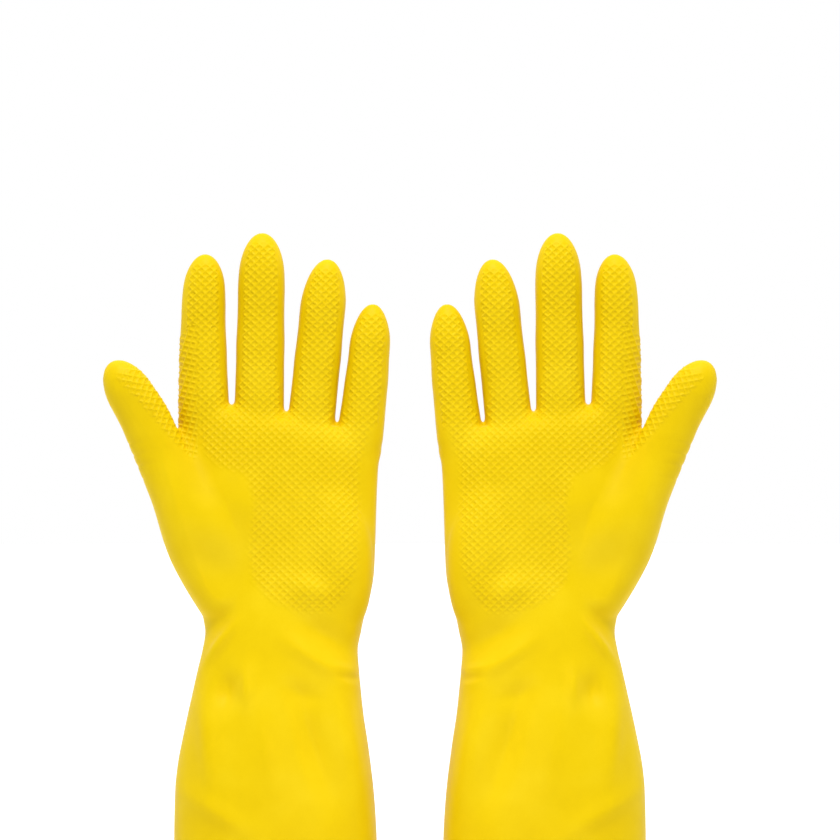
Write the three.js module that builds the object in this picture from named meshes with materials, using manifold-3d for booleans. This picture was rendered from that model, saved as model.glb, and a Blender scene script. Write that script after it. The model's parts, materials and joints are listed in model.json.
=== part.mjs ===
// A pair of household rubber gloves, standing on their rolled cuff edges with the fingers up.
//
// Each glove is a thin latex film over a cotton flock lining. The film is divided into zones at the
// lines where a hand bends it: the wrist, the finger roots, the finger knuckles and the thumb.
// Millimetres. +Z runs from the cuffs to the fingertips, the palms face -Y, and the origin is on the
// ground, half way between the two gloves. One glove is drawn with its thumb towards +X, in its own
// frame: u across the hand (towards the thumb), y through it (towards the back), z up from the ground.

import * as THREE from "three";
import { mergeVertices } from "three/addons/utils/BufferGeometryUtils.js";
import Module from "manifold-3d";

const wasm = await Module();
wasm.setup();

// ---- Driving dimensions ----

const BETWEEN_CUFFS = 29; // clear space between the two cuffs
const CUFF_LENGTH = 126; // ground to wrist
const PALM_LENGTH = 105; // wrist to the web beside the middle finger
const FILM = 0.5; // latex wall
const LINING = 0.3; // flock coat
const LINING_GAP = 0.12; // clearance between film and flock
const FOLD_GAP = 0.4; // clearance across a fold line
const BEAD_RADIUS = 1.6; // rolled edge of the cuff
const BEAD_FOOT = 0.2; // how far the rolled edge is flattened where it stands
const BEAD_GAP = 0.3; // between the rolled edge and the film above it

const CUFF = { half: 46.9, deep: 31.5 }; // half width and half depth at the mouth
const WRIST = { inner: -38.9, outer: 33.3, deep: 22 }; // little-finger edge, thumb edge, half depth

const HAND_SIDES = 16;
const STALL_SIDES = 10;
const DOME_RINGS = 3;
const HAND_POWER = 2.5; // how square a section of the hand is: 2 is an ellipse
const STALL_POWER = 2.2;
const BEAD_STEPS = 24; // round the mouth
const BEAD_SIDES = 8; // round the bead itself

// Finger stalls, from the index to the little finger. drop is how far a stall's root lies below the
// middle finger's, lean how far its tip lies towards the thumb from its root, and bow how far the tip
// curves towards the palm. middle and tip are the heights of its upper two folds above its root.
const STALLS = [
  {
    name: "index", drop: 0, length: 69.3, rootHalf: 12, tipHalf: 10.2, dome: 19, lean: 0.3, bow: 4,
    folds: { middle: 25.5, tip: 47 },
  },
  {
    name: "middle", drop: 0, length: 79, rootHalf: 11.5, tipHalf: 10.8, dome: 20, lean: -1.1, bow: 5,
    folds: { middle: 28.5, tip: 53.5 },
  },
  {
    name: "ring", drop: 5, length: 72, rootHalf: 11.1, tipHalf: 10.3, dome: 20, lean: -7.2, bow: 4,
    folds: { middle: 27, tip: 50 },
  },
  {
    name: "little", drop: 10, length: 56.5, rootHalf: 10.9, tipHalf: 8.8, dome: 18, lean: -5.8, bow: 3,
    folds: { middle: 21.5, tip: 39.5 },
  },
];
const MIDDLE_FINGER_U = 7.8; // the middle finger's root lies this far towards the thumb
const STALL_GAP = 1; // between neighbouring stalls at their roots
const ROOT_FOLD = 7; // a root fold lies this far above the web
const STALL_DEPTH_SHARE = 0.88; // a stall's depth over its width
const STALL_BURIED = 24; // how far a stall's drawing runs down inside the palm
const STALL_FOOT = { below: 6, wider: 1 }; // the stall flares into the web this far below its root
const STALL_NECK = 5; // the stall has its root width from here up
const STALL_BELLY = 0.3; // extra half width half way up
const HINGE_TO_PALM = 5.5; // finger hinges lie this far in front of the middle of the stall

const THUMB_DOME = 19.5;
const THUMB_RINGS = 6;
const THUMB_FOLDS = { root: 0.7, tip: 0.93 }; // places along the thumb's drawn line, without its dome
const THUMB_TURN = 15; // degrees that the thumb's pad is turned towards the index finger
const THUMB_HINGE_TO_PAD = 4;

// How far each fold bends, in degrees, towards the palm and away from it.
const BENDS = {
  wrist: { flex: 50, extend: 40 },
  root: { flex: 75, extend: 10 },
  middle: { flex: 85, extend: 0 },
  tip: { flex: 40, extend: 0 },
  thumb_root: { flex: 40, extend: 10 },
  thumb_tip: { flex: 60, extend: 0 },
};
const WRIST_BAND = 4; // half height of the wrist's fold at its sides
const CUTTER_REACH = 60; // longer than any section is deep
const CUTTER_SIDE = 0.4; // how far a finger's cutter runs past it at each side
const THUMB_CUTTER_SIDE = 4;
const PAST_MOUTH = 1; // how far a solid that is cut out runs below the mouth

// ---- Places worked out from them ----

const MOUTH_Z = 2 * BEAD_RADIUS - BEAD_FOOT + BEAD_GAP;
const WEB_Z = CUFF_LENGTH + PALM_LENGTH;
const CUFF_TO_CENTRE = BETWEEN_CUFFS / 2 + CUFF.half;

// Each stall with the middle of its root and tip and their heights. They stand side by side.
const FINGERS = (() => {
  const places = STALLS.map((stall, i) => {
    const steps = STALLS.slice(Math.min(i, 1), Math.max(i, 1) + 1);
    const apart = steps.slice(1).reduce(
      (sum, next, k) => sum + steps[k].rootHalf + STALL_GAP + next.rootHalf,
      0,
    );
    return MIDDLE_FINGER_U + Math.sign(1 - i) * apart;
  });
  return STALLS.map((stall, i) => {
    const root = WEB_Z - stall.drop;
    const { middle, tip } = stall.folds;
    return {
      ...stall,
      rootU: places[i],
      tipU: places[i] + stall.lean,
      root,
      tip: root + stall.length,
      folds: { root: root + ROOT_FOLD, middle: root + middle, tip: root + tip },
    };
  });
})();
const INDEX_EDGE = FINGERS[0].rootU + FINGERS[0].rootHalf;
const LITTLE_EDGE = FINGERS[3].rootU - FINGERS[3].rootHalf;

// Sections of the thumb from the heel of the hand to its tip. Each gives its middle, its height above
// the wrist, its half width and its half depth.
const THUMB_SECTIONS = [
  { u: WRIST.outer - 14.3, y: -1, rise: 10, half: 13.5, deep: 16 },
  { u: INDEX_EDGE - 11.3, y: -4, rise: 39, half: 16, deep: 16 },
  { u: INDEX_EDGE + 2.2, y: -6, rise: 67, half: 13.2, deep: 13 },
  { u: INDEX_EDGE + 12.2, y: -7.5, rise: 90, half: 12, deep: 10.8 },
  { u: INDEX_EDGE + 20.9, y: -9, rise: 108, half: 11.2, deep: 9.6 },
];

// Sections of the glove from its mouth to the web between the fingers. Each gives its height, its
// little-finger edge, its thumb edge, its half depth and how far its thumb edge is raised.
const HAND_SECTIONS = [
  { z: MOUTH_Z, inner: -CUFF.half, outer: CUFF.half, deep: CUFF.deep },
  { z: 0.44 * CUFF_LENGTH, inner: 1.6 - CUFF.half, outer: CUFF.half - 1.1, deep: CUFF.deep - 2 },
  { z: 0.77 * CUFF_LENGTH, inner: WRIST.inner - 0.9, outer: WRIST.outer + 4.7, deep: WRIST.deep + 2.8 },
  { z: 0.9 * CUFF_LENGTH, inner: WRIST.inner + 0.6, outer: WRIST.outer + 1.5, deep: WRIST.deep + 1.3 },
  { z: CUFF_LENGTH, ...WRIST },
  { z: WEB_Z - 71, inner: LITTLE_EDGE + 4.4, outer: INDEX_EDGE - 7.3, deep: 17 },
  { z: WEB_Z - 44, inner: LITTLE_EDGE + 3.5, outer: INDEX_EDGE - 2.3, deep: 15.2 },
  { z: WEB_Z - 20, inner: LITTLE_EDGE + 1.9, outer: INDEX_EDGE, deep: 14, raised: 4 },
  { z: WEB_Z - 9, inner: LITTLE_EDGE + 1.4, outer: INDEX_EDGE + 0.5, deep: 12.2, raised: 9 },
  { z: WEB_Z - 5, inner: LITTLE_EDGE + 3.2, outer: INDEX_EDGE - 1.1, deep: 8.5, raised: 9 },
];

// ---- Solids ----

const asSolid = (geometry) => {
  const bare = geometry.clone();
  bare.deleteAttribute("normal");
  bare.deleteAttribute("uv");
  const merged = mergeVertices(bare, 1e-4);
  return new wasm.Manifold(
    new wasm.Mesh({
      numProp: 3,
      vertProperties: merged.attributes.position.array,
      triVerts: new Uint32Array(merged.index.array),
    }),
  );
};

const asGeometry = (solid) => {
  const mesh = solid.getMesh();
  const geometry = new THREE.BufferGeometry();
  geometry.setAttribute("position", new THREE.BufferAttribute(mesh.vertProperties, 3));
  geometry.setIndex(new THREE.BufferAttribute(mesh.triVerts, 1));
  geometry.computeVertexNormals();
  return geometry;
};

const union = (solids) => solids.reduce((sum, solid) => sum.add(solid));

// One ring of points: a superellipse with its middle at `at`.
function ring({ at, across, through, half, deep, power, sides }) {
  return Array.from({ length: sides }, (_, i) => {
    const t = (2 * Math.PI * i) / sides;
    const reach = (value) => Math.sign(value) * Math.abs(value) ** (2 / power);
    return at
      .clone()
      .addScaledVector(across, half * reach(Math.cos(t)))
      .addScaledVector(through, deep * reach(Math.sin(t)));
  });
}

// A closed solid over rings of equal count, with a flat or pointed cap at each end.
function loft(rings, bottom, top) {
  const sides = rings[0].length;
  const points = [...rings.flat(), bottom, top];
  const index = [];
  for (let r = 0; r + 1 < rings.length; r += 1) {
    for (let i = 0; i < sides; i += 1) {
      const j = (i + 1) % sides;
      const [a, b, c, d] = [r * sides + i, r * sides + j, (r + 1) * sides + j, (r + 1) * sides + i];
      index.push(a, b, c, a, c, d);
    }
  }
  const last = (rings.length - 1) * sides;
  for (let i = 0; i < sides; i += 1) {
    const j = (i + 1) % sides;
    index.push(points.length - 2, j, i);
    index.push(points.length - 1, last + i, last + j);
  }
  const geometry = new THREE.BufferGeometry().setFromPoints(points);
  geometry.setIndex(index);
  return asSolid(geometry);
}

const ACROSS = new THREE.Vector3(1, 0, 0);
const THROUGH = new THREE.Vector3(0, 1, 0);
const UP = new THREE.Vector3(0, 0, 1);

// The body of the glove from `bottom` up, drawn in by `inset` all round.
function handSolid(inset, bottom) {
  const rings = HAND_SECTIONS.map(({ z, inner, outer, deep, raised = 0 }, i) => {
    const width = (outer - inner) / 2;
    const atWeb = i >= HAND_SECTIONS.length - 2;
    return ring({
      at: new THREE.Vector3((inner + outer) / 2, 0, i === 0 ? bottom : z - (atWeb ? inset : 0)),
      across: new THREE.Vector3(1, 0, raised / width),
      through: THROUGH,
      half: width - inset,
      deep: deep - inset,
      power: HAND_POWER,
      sides: HAND_SIDES,
    });
  });
  const middle = (points) =>
    points.reduce((sum, p) => sum.add(p), new THREE.Vector3()).divideScalar(points.length);
  return loft(rings, middle(rings[0]), middle(rings[rings.length - 1]));
}

// A finger stall, from inside the palm to its domed tip.
function stallSolid(finger, inset) {
  const { rootU, tipU, root, tip, rootHalf, tipHalf, dome, bow } = finger;
  const domeStart = tip - dome;
  const middleAt = (z) => {
    const share = (z - root) / (tip - root);
    return new THREE.Vector3(rootU + (tipU - rootU) * share, -bow * Math.max(0, share) ** 2, z);
  };
  const stallRing = (z, half) =>
    ring({
      at: middleAt(z),
      across: ACROSS,
      through: THROUGH,
      half: half - inset,
      deep: half * STALL_DEPTH_SHARE - inset,
      power: STALL_POWER,
      sides: STALL_SIDES,
    });
  const rings = [
    stallRing(root - STALL_BURIED, rootHalf - STALL_FOOT.wider),
    stallRing(root - STALL_FOOT.below, rootHalf + STALL_FOOT.wider),
    stallRing(root + STALL_NECK, rootHalf),
    stallRing((root + domeStart) / 2, (rootHalf + tipHalf) / 2 + STALL_BELLY),
  ];
  for (let i = 0; i < DOME_RINGS; i += 1) {
    const angle = (Math.PI / 2) * (i / DOME_RINGS);
    const shrink = Math.cos(angle);
    rings.push(
      ring({
        at: middleAt(domeStart + (dome - inset) * Math.sin(angle)),
        across: ACROSS,
        through: THROUGH,
        half: (tipHalf - inset) * shrink,
        deep: (tipHalf * STALL_DEPTH_SHARE - inset) * shrink,
        power: STALL_POWER,
        sides: STALL_SIDES,
      }),
    );
  }
  return loft(rings, middleAt(root - STALL_BURIED), middleAt(tip - inset));
}

const thumbLine = new THREE.CatmullRomCurve3(
  THUMB_SECTIONS.map(({ u, y, rise }) => new THREE.Vector3(u, y, CUFF_LENGTH + rise)),
);

// A value of the thumb's sections at a place along its line, from 0 to 1.
function thumbValue(key, place) {
  const spot = place * (THUMB_SECTIONS.length - 1);
  const low = Math.min(Math.floor(spot), THUMB_SECTIONS.length - 2);
  const [a, b] = [THUMB_SECTIONS[low][key], THUMB_SECTIONS[low + 1][key]];
  return a + (b - a) * (spot - low);
}

function thumbRing(place, inset, rise = 0, shrink = 1) {
  const along = thumbLine.getTangent(place);
  return ring({
    at: thumbLine.getPoint(place).addScaledVector(along, rise),
    across: new THREE.Vector3(along.z, 0, -along.x).normalize(),
    through: THROUGH,
    half: (thumbValue("half", place) - inset) * shrink,
    deep: (thumbValue("deep", place) - inset) * shrink,
    power: STALL_POWER,
    sides: STALL_SIDES,
  });
}

function thumbSolid(inset) {
  const rings = Array.from({ length: THUMB_RINGS }, (_, i) => thumbRing(i / (THUMB_RINGS - 1), inset));
  for (let i = 1; i < DOME_RINGS; i += 1) {
    const angle = (Math.PI / 2) * (i / DOME_RINGS);
    rings.push(thumbRing(1, inset, (THUMB_DOME - inset) * Math.sin(angle), Math.cos(angle)));
  }
  const end = thumbLine.getPoint(1).addScaledVector(thumbLine.getTangent(1), THUMB_DOME - inset);
  return loft(rings, thumbLine.getPoint(0), end);
}

// The whole glove as one solid from `bottom` up, drawn in by `inset`.
const gloveSolid = (inset, bottom) =>
  union([handSolid(inset, bottom), thumbSolid(inset), ...FINGERS.map((f) => stallSolid(f, inset))]);

// ---- Folds ----

// Where a fold turns: `at` is a point on its axis, `axis` the axis, and `along` points to the tip.
// A positive turn bends the part beyond the fold towards the palm.
const fold = (at, axis, along, halfWidth, bend) => ({ at, axis, along, halfWidth, bend });

function fingerFold(finger, joint) {
  const z = finger.folds[joint];
  const share = (z - finger.root) / (finger.tip - finger.root);
  const at = new THREE.Vector3(
    finger.rootU + (finger.tipU - finger.rootU) * share,
    -finger.bow * Math.max(0, share) ** 2 - HINGE_TO_PALM,
    z,
  );
  return fold(at, ACROSS, UP, finger.rootHalf + CUTTER_SIDE, BENDS[joint]);
}

function thumbFold(joint) {
  const place = THUMB_FOLDS[joint];
  const along = thumbLine.getTangent(place).normalize();
  const flat = new THREE.Vector3(along.z, 0, -along.x).normalize();
  const axis = flat.applyAxisAngle(along, THREE.MathUtils.degToRad(-THUMB_TURN)).normalize();
  const back = new THREE.Vector3().crossVectors(along, axis);
  const at = thumbLine.getPoint(place).addScaledVector(back, -THUMB_HINGE_TO_PAD);
  return fold(at, axis, along, thumbValue("half", place) + THUMB_CUTTER_SIDE, BENDS[`thumb_${joint}`]);
}

const wristFold = fold(new THREE.Vector3(0, 0, CUFF_LENGTH), ACROSS, UP, CUTTER_REACH, BENDS.wrist);

// The wedge of film that a fold takes up: it opens towards the palm by the flexing angle and
// towards the back by the extending one, from a slit of half height `slit` at its axis.
function wedge({ at, axis, along, halfWidth, bend }, slit) {
  const opening = (degrees) => slit + CUTTER_REACH * Math.tan(THREE.MathUtils.degToRad(degrees / 2));
  const [front, back] = [opening(bend.flex), opening(bend.extend)];
  const outline = new THREE.Shape([
    new THREE.Vector2(-CUTTER_REACH, -front),
    new THREE.Vector2(0, -slit),
    new THREE.Vector2(CUTTER_REACH, -back),
    new THREE.Vector2(CUTTER_REACH, back),
    new THREE.Vector2(0, slit),
    new THREE.Vector2(-CUTTER_REACH, front),
  ]);
  const prism = new THREE.ExtrudeGeometry(outline, { depth: 2 * halfWidth, bevelEnabled: false });
  prism.translate(0, 0, -halfWidth);
  const backwards = new THREE.Vector3().crossVectors(along, axis);
  prism.applyMatrix4(new THREE.Matrix4().makeBasis(backwards, along, axis).setPosition(at));
  return asSolid(prism);
}

const FINGER_ZONES = ["root", "middle", "tip"];
const THUMB_ZONES = ["root", "tip"];
const STALL_ZONES = { ...Object.fromEntries(FINGERS.map((f) => [f.name, FINGER_ZONES])), thumb: THUMB_ZONES };
const fingerFolds = FINGERS.map((finger) => FINGER_ZONES.map((joint) => fingerFold(finger, joint)));
const thumbFolds = THUMB_ZONES.map(thumbFold);

// ---- Zones ----

// A layer of the glove between two insets. What is cut out runs through the mouth and leaves it open.
const layer = (outside, inside) =>
  gloveSolid(outside, MOUTH_Z).subtract(gloveSolid(inside, MOUTH_Z - PAST_MOUTH));

const boxMiddle = (solid) => {
  const { min, max } = solid.boundingBox();
  return new THREE.Vector3(...min).add(new THREE.Vector3(...max)).multiplyScalar(0.5);
};

// Cuts a layer at its folds and names what is left. `cuts` says how many folds of each finger and of
// the thumb cut this layer.
function zonesOf(whole, cuts) {
  const wedges = [
    wedge(wristFold, WRIST_BAND),
    ...fingerFolds.flatMap((folds) => folds.slice(0, cuts.finger)).map((f) => wedge(f, FOLD_GAP / 2)),
    ...thumbFolds.slice(0, cuts.thumb).map((f) => wedge(f, FOLD_GAP / 2)),
  ];
  const parts = wedges
    .reduce((rest, cutter) => rest.subtract(cutter), whole)
    .decompose()
    .sort((a, b) => boxMiddle(a).z - boxMiddle(b).z);
  const [cuff, hand, ...ends] = parts;
  const stalls = Object.fromEntries(Object.keys(STALL_ZONES).map((name) => [name, []]));
  for (const part of ends) {
    const middle = boxMiddle(part);
    const away = (f) => Math.abs(middle.x - (f.rootU + f.tipU) / 2);
    const nearest = FINGERS.reduce((best, f) => (away(f) < away(best) ? f : best));
    const onThumb = middle.x > thumbFolds[0].at.x - THUMB_HINGE_TO_PAD && away(nearest) > nearest.rootHalf;
    stalls[onThumb ? "thumb" : nearest.name].push(part);
  }
  return { cuff, hand, stalls };
}

const film = layer(0, FILM);
const flock = layer(FILM + LINING_GAP, FILM + LINING_GAP + LINING);

// The film inside the wrist's fold, clear of the zones on each side of it.
const wristBand = film.intersect(wedge(wristFold, WRIST_BAND - FOLD_GAP));

// The rolled edge: a round bead round the mouth, flattened where it stands.
function beadSolid() {
  const line = ring({
    at: new THREE.Vector3(0, 0, BEAD_RADIUS - BEAD_FOOT),
    across: ACROSS,
    through: THROUGH,
    half: CUFF.half - FILM / 2,
    deep: CUFF.deep - FILM / 2,
    power: HAND_POWER,
    sides: BEAD_STEPS,
  });
  const points = line.flatMap((p, i) => {
    const ahead = line[(i + 1) % BEAD_STEPS].clone().sub(line.at(i - 1)).normalize();
    const out = new THREE.Vector3(ahead.y, -ahead.x, 0);
    return Array.from({ length: BEAD_SIDES }, (_, k) => {
      const turn = (2 * Math.PI * (k + 0.5)) / BEAD_SIDES - Math.PI / 2;
      const q = p.clone().addScaledVector(out, BEAD_RADIUS * Math.cos(turn));
      return q.setZ(Math.max(0, q.z + BEAD_RADIUS * Math.sin(turn)));
    });
  });
  const index = [];
  for (let i = 0; i < BEAD_STEPS; i += 1) {
    for (let k = 0; k < BEAD_SIDES; k += 1) {
      const [here, next] = [i * BEAD_SIDES, ((i + 1) % BEAD_STEPS) * BEAD_SIDES];
      const above = (k + 1) % BEAD_SIDES;
      const [a, b, c, d] = [here + k, next + k, next + above, here + above];
      index.push(a, b, c, a, c, d);
    }
  }
  const geometry = new THREE.BufferGeometry().setFromPoints(points);
  geometry.setIndex(index);
  return asSolid(geometry);
}

// ---- Assembly ----

const latex = new THREE.MeshStandardMaterial({ color: 0xf6d20f, roughness: 0.5, metalness: 0 });
const cotton = new THREE.MeshStandardMaterial({ color: 0xf2e3a0, roughness: 0.95, metalness: 0 });

function piecesOfGlove() {
  const filmZones = zonesOf(film, { finger: 3, thumb: 2 });
  const flockZones = zonesOf(flock, { finger: 1, thumb: 1 });
  const pieces = {
    cuff_bead: [beadSolid(), latex],
    wrist_fold: [wristBand, latex],
    cuff: [filmZones.cuff, latex],
    hand: [filmZones.hand, latex],
    cuff_lining: [flockZones.cuff, cotton],
    hand_lining: [flockZones.hand, cotton],
  };
  for (const [name, zoneNames] of Object.entries(STALL_ZONES)) {
    filmZones.stalls[name].forEach((solid, i) => {
      pieces[`${name}_${zoneNames[i]}`] = [solid, latex];
    });
    pieces[`${name}_lining`] = [flockZones.stalls[name][0], cotton];
  }
  return pieces;
}

const pair = new THREE.Group();
const glove = piecesOfGlove();
for (const [side, mirror] of [["left", -1], ["right", 1]]) {
  const half = new THREE.Group();
  half.position.x = mirror * CUFF_TO_CENTRE;
  half.scale.x = mirror;
  for (const [name, [solid, material]] of Object.entries(glove)) {
    const mesh = new THREE.Mesh(asGeometry(solid), material);
    mesh.name = `${side}_${name}`;
    half.add(mesh);
  }
  pair.add(half);
}

export default pair;
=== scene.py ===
"""A pair of household rubber gloves, standing on the rolled edges of their cuffs, fingers up.

Each glove is one thin latex skin over a flock lining. The skin is drawn as closed forms that are
melted together, creased, embossed with grip scales and then parted where the fingers, the thumb and
the wrist bend, into pieces whose edges meet the next piece's.

Glove drawings use millimetres in the glove's own frame: u runs from the little finger to the thumb,
y from the palm to the back, z up from the ground. The scene itself is in metres.
"""

import json
import logging
import math
from dataclasses import dataclass, field
from enum import Enum

import bmesh
import bpy
import numpy as np
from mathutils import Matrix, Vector


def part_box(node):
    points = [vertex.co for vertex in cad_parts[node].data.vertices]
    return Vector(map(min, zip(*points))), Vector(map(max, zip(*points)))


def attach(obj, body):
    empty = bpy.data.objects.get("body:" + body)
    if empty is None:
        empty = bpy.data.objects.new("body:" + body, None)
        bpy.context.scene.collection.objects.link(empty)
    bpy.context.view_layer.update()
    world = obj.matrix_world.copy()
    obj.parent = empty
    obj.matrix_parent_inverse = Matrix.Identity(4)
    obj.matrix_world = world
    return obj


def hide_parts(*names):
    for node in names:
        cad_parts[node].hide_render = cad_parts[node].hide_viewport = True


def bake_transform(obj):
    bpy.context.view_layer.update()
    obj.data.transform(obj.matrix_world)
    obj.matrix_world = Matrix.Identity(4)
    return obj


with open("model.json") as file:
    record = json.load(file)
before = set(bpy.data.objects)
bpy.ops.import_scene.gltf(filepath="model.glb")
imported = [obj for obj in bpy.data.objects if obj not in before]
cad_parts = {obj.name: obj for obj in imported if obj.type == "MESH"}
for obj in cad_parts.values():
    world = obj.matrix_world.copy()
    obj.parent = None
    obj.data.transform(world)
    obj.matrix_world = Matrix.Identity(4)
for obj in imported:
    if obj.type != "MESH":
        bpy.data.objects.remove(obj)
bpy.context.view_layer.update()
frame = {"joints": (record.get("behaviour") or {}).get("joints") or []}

MM = 0.001
LOG = logging.getLogger("gloves")

Array = np.ndarray
Socket = bpy.types.NodeSocket


class Side(Enum):
    """Which glove of the pair, as the viewer sees it."""

    LEFT = "left"
    RIGHT = "right"

    @property
    def sign(self) -> int:
        """-1 for the glove on -X, 1 for the one on +X."""
        return 1 if self is Side.RIGHT else -1


class Layer(Enum):
    """A layer of the glove's wall: its name at the end of a piece's name, and its record slot."""

    FILM = ("skin", "latex")
    LINING = ("lining", "flock")

    @property
    def suffix(self) -> str:
        """The end of a piece's name."""
        return self.value[0]

    @property
    def slot(self) -> str:
        """The record's material slot."""
        return self.value[1]


def joint_place(name: str) -> Array:
    """Where a hinge of the right-hand glove is.

    Args:
        name: the joint's name without its side.

    Returns:
        The hinge's point in the glove's own frame, in millimetres.
    """
    found = next(j for j in frame["joints"] if j["name"] == f"right_{name}")
    return np.array(found["pos_m"]) / MM - np.array([GLOVE_MIDDLE, 0.0, 0.0])


def node_top(name: str) -> float:
    """The highest point of a node of the right-hand glove, in millimetres."""
    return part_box(f"right_{name}")[1].z / MM


def smooth_step(value: Array, low: float, high: float) -> Array:
    """A soft ramp from 0 at `low` to 1 at `high`."""
    share = np.clip((value - low) / (high - low), 0.0, 1.0)
    return share * share * (3 - 2 * share)


BEAD_LOW, BEAD_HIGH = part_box("right_cuff_bead")
GLOVE_MIDDLE = (BEAD_LOW.x + BEAD_HIGH.x) / 2 / MM
BEAD_RADIUS = 1.6
BEAD_FOOT = 0.2  # how far the rolled edge is flattened where it stands
BEAD_INSET = 1.25  # from the rolled edge's outside to its middle line
CUFF_HALF = (BEAD_HIGH.x - BEAD_LOW.x) / 2 / MM - BEAD_INSET
CUFF_DEEP = (BEAD_HIGH.y - BEAD_LOW.y) / 2 / MM - BEAD_INSET
FILM = 0.5
LINING_OUTSIDE, LINING_INSIDE = 0.8, 1.1  # depths under the drawn surface
INSIDE_SHIFT = 7.0  # moves the noise on a wall's inside away from that on its outside
ROOT_FOLD = 7.0  # how far a finger's root fold lies above its web
WRIST_Z = float(joint_place("wrist_bend")[2])
WEB_Z = float(joint_place("middle_root_bend")[2]) - ROOT_FOLD


# ---- Finishes ----


class Shader:
    """A material and its node tree, written one node at a time."""

    def __init__(self, name: str) -> None:
        """Starts a material with one Principled surface.

        Args:
            name: the material's name.
        """
        self.material = bpy.data.materials.new(name)
        self.material.use_nodes = True
        self.tree = self.material.node_tree
        self.surface = self.tree.nodes["Principled BSDF"]

    def node(self, kind: str, **settings: object) -> bpy.types.Node:
        """Adds a node.

        Args:
            kind: the node's type.
            settings: its own properties.

        Returns:
            The new node.
        """
        made = self.tree.nodes.new(kind)
        for key, value in settings.items():
            setattr(made, key, value)
        return made

    def feed(self, socket: Socket, value: object) -> None:
        """Sets a socket to a number or colour, or links it to another socket."""
        if isinstance(value, bpy.types.NodeSocket):
            self.tree.links.new(value, socket)
        else:
            socket.default_value = value

    def math(self, operation: str, a: object, b: object = 0.0) -> Socket:
        """One Math node over two values or sockets.

        Args:
            operation: the Math node's operation.
            a: the first value or socket.
            b: the second value or socket.

        Returns:
            The result's socket.
        """
        made = self.node("ShaderNodeMath", operation=operation)
        self.feed(made.inputs[0], a)
        self.feed(made.inputs[1], b)
        return made.outputs[0]

    def attribute(self, name: str) -> bpy.types.Node:
        """Reads a value that is stored on the mesh."""
        return self.node("ShaderNodeAttribute", attribute_name=name)

    def noise(self, place: Socket, scale: float, detail: float, rough: float = 0.5) -> Socket:
        """Soft noise over a place.

        Args:
            place: the vector to read it at.
            scale: how many waves to the millimetre.
            detail: how many finer layers it has.
            rough: how strong those are.

        Returns:
            The noise's value, about 0 to 1.
        """
        made = self.node("ShaderNodeTexNoise")
        self.feed(made.inputs["Vector"], place)
        self.feed(made.inputs["Scale"], scale)
        self.feed(made.inputs["Detail"], detail)
        self.feed(made.inputs["Roughness"], rough)
        return made.outputs["Fac"]

    def ramp(self, value: Socket, stops: list[tuple[float, tuple[float, float, float]]]) -> Socket:
        """Colours along a value.

        Args:
            value: the value, from 0 to 1.
            stops: places along it, each with a linear colour.

        Returns:
            The colour's socket.
        """
        made = self.node("ShaderNodeValToRGB")
        self.feed(made.inputs["Fac"], value)
        made.color_ramp.elements[0].position = stops[0][0]
        made.color_ramp.elements[0].color = (*stops[0][1], 1.0)
        made.color_ramp.elements[1].position = stops[-1][0]
        made.color_ramp.elements[1].color = (*stops[-1][1], 1.0)
        for place, colour in stops[1:-1]:
            made.color_ramp.elements.new(place).color = (*colour, 1.0)
        return made.outputs["Color"]

    def bump(self, height: Socket, strength: float, distance: float, normal: Socket | None = None) -> Socket:
        """Bumps from a height.

        Args:
            height: the height, from 0 to 1.
            strength: how much of it shows.
            distance: what 1 stands for, in metres.
            normal: bumps that these ones lie on.

        Returns:
            The bumped normal's socket.
        """
        made = self.node("ShaderNodeBump")
        self.feed(made.inputs["Strength"], strength)
        self.feed(made.inputs["Distance"], distance)
        self.feed(made.inputs["Height"], height)
        if normal is not None:
            self.feed(made.inputs["Normal"], normal)
        return made.outputs["Normal"]


@dataclass(frozen=True)
class LatexFinish:
    """Dipped yellow latex: satin, with fine pits and cloudy tints."""

    name: str = "yellow_latex"
    deep: tuple[float, float, float] = (0.76, 0.525, 0.0008)
    body: tuple[float, float, float] = (0.80, 0.562, 0.0015)
    pale: tuple[float, float, float] = (0.84, 0.605, 0.006)
    roughness: tuple[float, float] = (0.40, 0.56)

    def material(self) -> bpy.types.Material:
        """Builds the material."""
        shader = Shader(self.name)
        place = shader.attribute("rest_place").outputs["Vector"]
        clouds = shader.noise(place, 0.035, 4.0, 0.55)
        specks = shader.noise(place, 1.3, 3.0, 0.6)
        tint = shader.math("ADD", shader.math("MULTIPLY", clouds, 0.8), shader.math("MULTIPLY", specks, 0.2))
        # Painted highlight: the raised grip ridges are painted a little paler than the cells between them.
        ridge = shader.attribute("grip_ridge").outputs["Fac"]
        tint = shader.math("ADD", tint, shader.math("MULTIPLY", ridge, 0.10))
        colour = shader.ramp(tint, [(0.30, self.deep), (0.50, self.body), (0.74, self.pale)])
        shader.feed(shader.surface.inputs["Base Color"], colour)
        low, high = self.roughness
        worn = shader.math("MULTIPLY_ADD", shader.noise(place, 0.12, 3.0), high - low)
        shader.feed(worn.node.inputs[2], low)
        shader.feed(shader.surface.inputs["Roughness"], worn)
        shader.feed(shader.surface.inputs["IOR"], 1.5)
        shader.feed(shader.surface.inputs["Specular IOR Level"], 0.08)
        pits = shader.bump(shader.noise(place, 2.6, 3.0, 0.65), 0.22, 0.00012)
        shader.feed(shader.surface.inputs["Normal"], pits)
        return shader.material


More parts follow.
